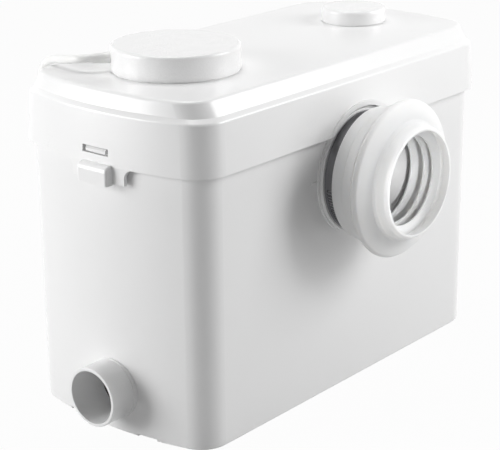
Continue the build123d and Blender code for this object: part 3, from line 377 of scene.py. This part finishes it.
# Pan sleeve: soft white rubber, moulded in one, with a satin skin that is a little
# warmer and duller than the plastic beside it. It is pushed over the inlet's spigot.
sleeve_rubber, place = surface_place("white_rubber")
sleeve_cloud = place.grain(22.0, 3.0)
sleeve_skin = place.grain(1800.0, 3.0)
finish_with(sleeve_rubber, place, {
    "Base Color": sleeve_cloud.blend((0.9, 0.9, 0.893), (0.93, 0.93, 0.923)),
    "Roughness": sleeve_skin * 0.1 + 0.42,
    "Normal": sleeve_skin.relief(0.0001, 0.3),
    "Subsurface Weight": 0.7,
    "Subsurface Radius": (1.0, 0.97, 0.92),
    "Subsurface Scale": 0.012,
})
dress(["pan_sleeve"], sleeve_rubber)

# Hose clamp: rolled stainless strip with pressed slots, which a worm screw in its
# case draws tight round the sleeve's collar. The screw is turned steel, like the
# screws of the motor cover and the switch's lever.
# The strip's two shades are set far darker than bare stainless: a painted dark reflection of the dim
# surroundings that the band mirrors, not the steel's own colour.
strip_steel_painted_reflection = worked_metal(
    "strip_steel_painted_reflection",
    marks=(260.0, 3.0, (1, 14, 1)),
    dull=(0.17, 0.17, 0.18),
    bright=(0.27, 0.27, 0.28),
    roughness=(0.16, 0.26),
    groove=0.00005,
)
dress(["clamp_band", "clamp_case"], strip_steel_painted_reflection)
turned_steel = worked_metal(
    "turned_steel",
    marks=(500.0, 2.0, (1, 1, 6)),
    dull=(0.5, 0.5, 0.51),
    bright=(0.6, 0.6, 0.61),
    roughness=(0.14, 0.24),
)
dress(["clamp_screw", "cover_screws", "switch_lever"], turned_steel)

# Supply cord: a white round lead that leaves the motor cover's side, goes over the
# lid's back edge, runs down behind the tank and lies coiled on the floor there.
# The coil, its tie and the plug are the part of the lead that the photo doesn't show.
cord_radius = 3.25
coil_x = -22.0
coil_low_side = 119.0
coil_level = 4.55
coil_rise = 7.1
coil_outer_turn = 43.0
coil_turn_step = 3.6
coil_steps_inward = 4
points_each_half = 8
cord_exit = (-151.386, 41.35, 279.8)
cord_route = [
    cord_exit,
    (-157.478, 46.535, 279.8),
    (-157.2, 59.0, 277.7),
    (-153.6, 74.0, 275.0),
    (-151.2, 85.2, 273.1),
    (-150.5, 95.1, 267.4),
    (-150.2, 99.6, 256.8),
    (-149.6, 102.8, 238.0),
    (-149.5, 104.5, 214.0),
    (-147.5, 105.2, 172.0),
    (-149.0, 104.5, 122.0),
    (-147.5, 105.3, 74.0),
    (-148.0, 105.0, 26.2),
    (-126.4, 107.5, coil_level),
    (-86.0, 117.0, coil_level),
    (-50.0, coil_low_side, coil_level),
]


def coil_points():
    """List the coil's half circles, which step inwards, climb one layer and step out again."""
    points = []
    start = Vector((coil_x, coil_low_side, coil_level))
    heading = 1
    half_step = math.pi / points_each_half / 2
    for half in range(2 * coil_steps_inward):
        steps = coil_steps_inward - abs(coil_steps_inward - half)
        radius = coil_outer_turn - steps * coil_turn_step
        rise = coil_rise if half == coil_steps_inward else 0
        centre = start + Vector((0, radius * heading, 0))
        reach = radius / math.cos(half_step)
        for step in range(points_each_half):
            angle = (2 * step + 1) * half_step
            points.append((
                centre.x + reach * math.sin(angle) * heading,
                centre.y - reach * math.cos(angle) * heading,
                start.z + rise * (1 - math.cos(angle)) / 2,
            ))
        start = start + Vector((0, 2 * radius * heading, rise))
        heading = -heading
    return points


top_level = coil_level + coil_rise
plug_level = 15.0
tail_route = [
    (-15.45, coil_low_side, top_level),
    (13.3, coil_low_side, top_level),
    (44.02, 116.0, 13.16),
    (67.06, 114.0, plug_level),
    (80.5, 114.0, plug_level),
]
lead_points = cord_route + coil_points() + tail_route
lead_curve = bpy.data.curves.new("supply_lead", "CURVE")
lead_curve.dimensions = "3D"
lead_curve.bevel_depth = cord_radius / 1000
lead_curve.bevel_resolution = 5
lead_curve.resolution_u = 8
lead_curve.use_fill_caps = True
lead_spline = lead_curve.splines.new("NURBS")
lead_spline.points.add(len(lead_points) - 1)
for point, place_mm in zip(lead_spline.points, lead_points):
    point.co = (place_mm[0] / 1000, place_mm[1] / 1000, place_mm[2] / 1000, 1)
lead_spline.order_u = 3
lead_spline.use_endpoint_u = True
lead = bpy.data.objects.new("supply_lead", lead_curve)
bpy.context.scene.collection.objects.link(lead)

sheath, place = surface_place("cord_sheath")
sheath_skin = place.grain(900.0)
sheath_cloud = place.grain(30.0)
finish_with(sheath, place, {
    "Base Color": sheath_cloud.blend((0.83, 0.83, 0.82), (0.88, 0.88, 0.87)),
    "Roughness": sheath_skin * 0.08 + 0.36,
    "Normal": sheath_skin.relief(0.0002, 0.2),
})
lead_curve.materials.append(sheath)
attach(lead, "casing")
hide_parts("supply_cord", "cord_coil", "cord_tail")
dress(["cord_boot", "plug_body"], sheath)

pin_metal = worked_metal(
    "plug_metal",
    marks=(120.0, 3.0, (1, 12, 12)),
    dull=(0.62, 0.56, 0.4),
    bright=(0.7, 0.64, 0.48),
    roughness=(0.12, 0.2),
)
dress(["plug_pins"], pin_metal)

tie_plastic, place = surface_place("tie_plastic")
tie_ribs = place.grain(400.0, 2.0, (6, 1, 1))
finish_with(tie_plastic, place, {
    "Base Color": (0.03, 0.03, 0.032, 1),
    "Roughness": tie_ribs * 0.2 + 0.4,
    "Normal": tie_ribs.relief(0.0003, 0.3),
})
dress(["coil_tie"], tie_plastic)


# Studio: a pale floor and a white surround that keep the casing's soft shadow.
# Rays straight from the camera, mirrored or let through, see plain white there,
# and all others see dim paper and a soft light.
def direct_view(start):
    """Pick the rays that see white: the camera's own, mirrored ones and those let through."""
    camera_ray = start.node("ShaderNodeLightPath")
    mirrored_ray = camera_ray.beside("Is Glossy Ray")
    return camera_ray + mirrored_ray + camera_ray.beside("Is Transmission Ray")


white = (1, 1, 1, 1)
floor_half = 6.0
floor_drop = 0.0003
floor_glow_share = 0.965
surround_strength = 0.15
floor_mesh = bpy.data.meshes.new("floor")
shape = bmesh.new()
bmesh.ops.create_grid(shape, x_segments=1, y_segments=1, size=floor_half)
shape.to_mesh(floor_mesh)
shape.free()
floor = bpy.data.objects.new("floor", floor_mesh)
floor.location.z = -floor_drop
bpy.context.scene.collection.objects.link(floor)
floor_paper, place = surface_place("floor_paper")
paper = place.node("ShaderNodeBsdfDiffuse", {}, {"Color": (*even(0.5), 1)})
glow = place.node("ShaderNodeEmission", {}, {"Color": white, "Strength": 1.0})
glow_share = direct_view(place) * floor_glow_share
place.node("ShaderNodeMixShader", {}, {0: glow_share, 1: paper, 2: glow}).show()
floor_mesh.materials.append(floor_paper)

world = bpy.data.worlds.new("surround")
bpy.context.scene.world = world
world.use_nodes = True
world.node_tree.nodes.clear()
sky = Link(world.node_tree, None)
soft_light = sky.node("ShaderNodeBackground", {}, {"Color": white, "Strength": surround_strength})
white_view = sky.node("ShaderNodeBackground", {}, {"Color": white, "Strength": 1.0})
seen_sky = sky.node("ShaderNodeMixShader", {}, {0: direct_view(sky), 1: soft_light, 2: white_view})
seen_sky.show("ShaderNodeOutputWorld")


# Lamps: four large soft lamps on the right, on the left, above and in front, and a
# narrow beam from beside the camera that reaches into the sleeve's mouth.
# Each stands at a distance from its target and faces it.
def hang_lamp(light, target, direction, distance):
    """Hang a light in a direction from its target, facing it."""
    towards = Vector(direction).normalized()
    lamp = bpy.data.objects.new(light.name, light)
    lamp.location = target + towards * distance
    lamp.rotation_euler = towards.to_track_quat("Z", "Y").to_euler()
    bpy.context.scene.collection.objects.link(lamp)


casing_middle = Vector((0, 0, 0.14))
soft_lamps = [
    {"name": "lamp_right", "direction": (0.55, -0.72, 0.5), "distance": 1.6, "size": 0.8, "power": 13.8},
    {"name": "lamp_left", "direction": (-0.84, 0.58, 0.22), "distance": 1.6, "size": 0.9, "power": 18.0},
    {"name": "lamp_above", "direction": (0.05, 0.2, 1.0), "distance": 1.7, "size": 1.0, "power": 12.8},
    {"name": "lamp_front", "direction": (0.7, -1.0, 0.0), "distance": 1.6, "size": 1.2, "power": 8.5},
]
for soft_lamp in soft_lamps:
    light = bpy.data.lights.new(soft_lamp["name"], "AREA")
    light.shape = "SQUARE"
    light.size = soft_lamp["size"]
    light.energy = soft_lamp["power"]
    hang_lamp(light, casing_middle, soft_lamp["direction"], soft_lamp["distance"])

mouth_middle = Vector((0.0073, -0.142, 0.18))
beam_direction = (-0.62, -0.78, 0.12)
beam_distance = 1.2
beam = bpy.data.lights.new("lamp_mouth", "SPOT")
beam.energy = 90.0
beam.spot_size = math.radians(3.1)
beam.spot_blend = 0.6
beam.shadow_soft_size = 0.03
hang_lamp(beam, mouth_middle, beam_direction, beam_distance)
